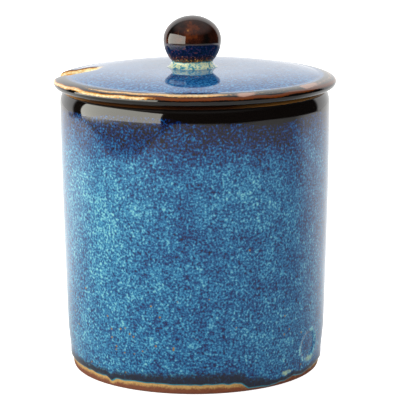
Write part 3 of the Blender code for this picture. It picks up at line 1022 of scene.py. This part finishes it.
class CROCK_OT_stage(bpy.types.Operator):
    """Lay the floor, light it and set up the camera."""

    bl_idname = "crock.stage"
    bl_label = "Stage"

    def execute(self, context):
        scene = context.scene
        # the sheet curls in at the near left, so the wall's upper left mirrors the dark table under it
        turns = np.radians(np.linspace(-130.0, 130.0, 131))
        aside = np.abs((np.degrees(turns) - PAPER_CURL_BEARING) / PAPER_CURL_SPREAD)
        reach = PAPER_RADIUS - PAPER_CURL * np.exp(-aside ** 2.6)
        front = ring_points(turns, reach)
        outline = [(front[0][0], PAPER_BACK), *front, (front[-1][0], PAPER_BACK)]
        around = ring_points(np.linspace(0.0, math.tau, 96, endpoint=False), TABLE_RADIUS)
        for name, edge, height, material in (
                ("studio_paper", outline, 0.0, paper_material()),
                ("studio_table", around, -1.0 * MM, table_material())):
            mesh = bpy.data.meshes.new(name)
            mesh.from_pydata([(x, y, height) for x, y in edge], [], [range(len(edge))])
            mesh.materials.append(material)
            surface = bpy.data.objects.new(name, mesh)
            scene.collection.objects.link(surface)
            surface.visible_camera = name == "studio_paper"

        toward = Vector((math.sin(WINDOW_BEARING), -math.cos(WINDOW_BEARING), 0.0))
        along = Vector((math.cos(WINDOW_BEARING), math.sin(WINDOW_BEARING), 0.0))
        window = bpy.data.lights.new("tall_window", "AREA")
        window.shape = "RECTANGLE"
        window.size = WINDOW_WIDTH
        window.size_y = WINDOW_TOP - WINDOW_BOTTOM
        window.color = WINDOW_COLOUR
        window.energy = WINDOW_WATTS
        panel = bpy.data.objects.new("tall_window", window)
        middle = Vector((0.0, 0.0, (WINDOW_TOP + WINDOW_BOTTOM) / 2))
        panel.location = toward * WINDOW_DISTANCE + along * WINDOW_SHIFT + middle
        panel.rotation_euler = (-toward).to_track_quat("-Z", "Y").to_euler()
        scene.collection.objects.link(panel)

        fill = bpy.data.lights.new("room_bounce", "AREA")
        fill.shape = "DISK"
        fill.size = BOUNCE_SIZE
        fill.energy = BOUNCE_WATTS
        bounce = bpy.data.objects.new("room_bounce", fill)
        bounce.location = BOUNCE_PLACE
        aim = Vector((0.0, 0.0, 0.05)) - bounce.location
        bounce.rotation_euler = aim.to_track_quat("-Z", "Y").to_euler()
        bounce.visible_glossy = False
        scene.collection.objects.link(bounce)

        world = bpy.data.worlds.new("studio")
        world.use_nodes = True
        tree = world.node_tree
        tree.nodes.clear()
        way = node(tree, "ShaderNodeTexCoord").outputs["Generated"]
        parts = node(tree, "ShaderNodeSeparateXYZ", {0: way})
        # a bright wall behind the crock and a paler ceiling; the rest of the room is dark
        behind = node(tree, "ShaderNodeMapRange", {
            "Value": parts.outputs["Y"], "From Min": 0.54, "From Max": 0.62, "To Min": ROOM_DARK,
            "To Max": ROOM_BACK}, interpolation_type="SMOOTHSTEP")
        ceiling = node(tree, "ShaderNodeMapRange", {
            "Value": parts.outputs["Z"], "From Min": 0.45, "From Max": 0.85, "To Min": 0.0,
            "To Max": ROOM_CEILING}, interpolation_type="SMOOTHSTEP")
        room = node(tree, "ShaderNodeMath", {0: behind.outputs[0], 1: ceiling.outputs[0]},
                    operation="MAXIMUM")
        seen = node(tree, "ShaderNodeLightPath").outputs["Is Camera Ray"]
        bright = node(tree, "ShaderNodeMath", {0: room.outputs[0], 1: seen}, operation="MAXIMUM")
        light = node(tree, "ShaderNodeBackground", {
            "Color": (1.0, 1.0, 1.0, 1.0), "Strength": bright.outputs[0]})
        node(tree, "ShaderNodeOutputWorld", {"Surface": light.outputs[0]})
        scene.world = world
        scene.view_settings.view_transform = "Standard"

        camera = bpy.data.cameras.new("camera")
        camera.lens = CAMERA_LENS
        camera.sensor_width = 36.0
        camera.clip_start = 0.01
        view = bpy.data.objects.new("camera", camera)
        tilt = Matrix.Rotation(math.pi / 2 - CAMERA_DOWN, 4, "X")
        roll = Matrix.Rotation(CAMERA_ROLL, 4, "Z")
        view.matrix_world = Matrix.Translation(CAMERA_PLACE) @ tilt @ roll
        scene.collection.objects.link(view)
        scene.camera = view
        return {"FINISHED"}


OPERATORS = (CROCK_OT_pot, CROCK_OT_lid, CROCK_OT_knob, CROCK_OT_stage)


class CROCK_PT_panel(bpy.types.Panel):
    """Lists the crock's pieces."""

    bl_label = "Butter crock"
    bl_idname = "CROCK_PT_panel"
    bl_space_type = "VIEW_3D"
    bl_region_type = "UI"
    bl_category = "Crock"

    def draw(self, context):
        for group in (context.scene.crock_sizes, context.scene.crock_colours):
            for name in group.__annotations__:
                self.layout.prop(group, name)
        for operator in OPERATORS:
            self.layout.operator(operator.bl_idname)


CLASSES = (CrockSizes, CrockColours, *OPERATORS, CROCK_PT_panel)


def register():
    """Add the classes and the scene's settings."""
    for cls in CLASSES:
        bpy.utils.register_class(cls)
    bpy.types.Scene.crock_sizes = bpy.props.PointerProperty(type=CrockSizes)
    bpy.types.Scene.crock_colours = bpy.props.PointerProperty(type=CrockColours)


def unregister():
    """Take away what register added."""
    del bpy.types.Scene.crock_sizes
    del bpy.types.Scene.crock_colours
    for cls in reversed(CLASSES):
        bpy.utils.unregister_class(cls)


def main():
    """Register the classes and build each piece in order."""
    register()
    bpy.ops.crock.pot()
    bpy.ops.crock.lid()
    bpy.ops.crock.knob()
    bpy.ops.crock.stage()


if __name__ == "__main__":
    main()
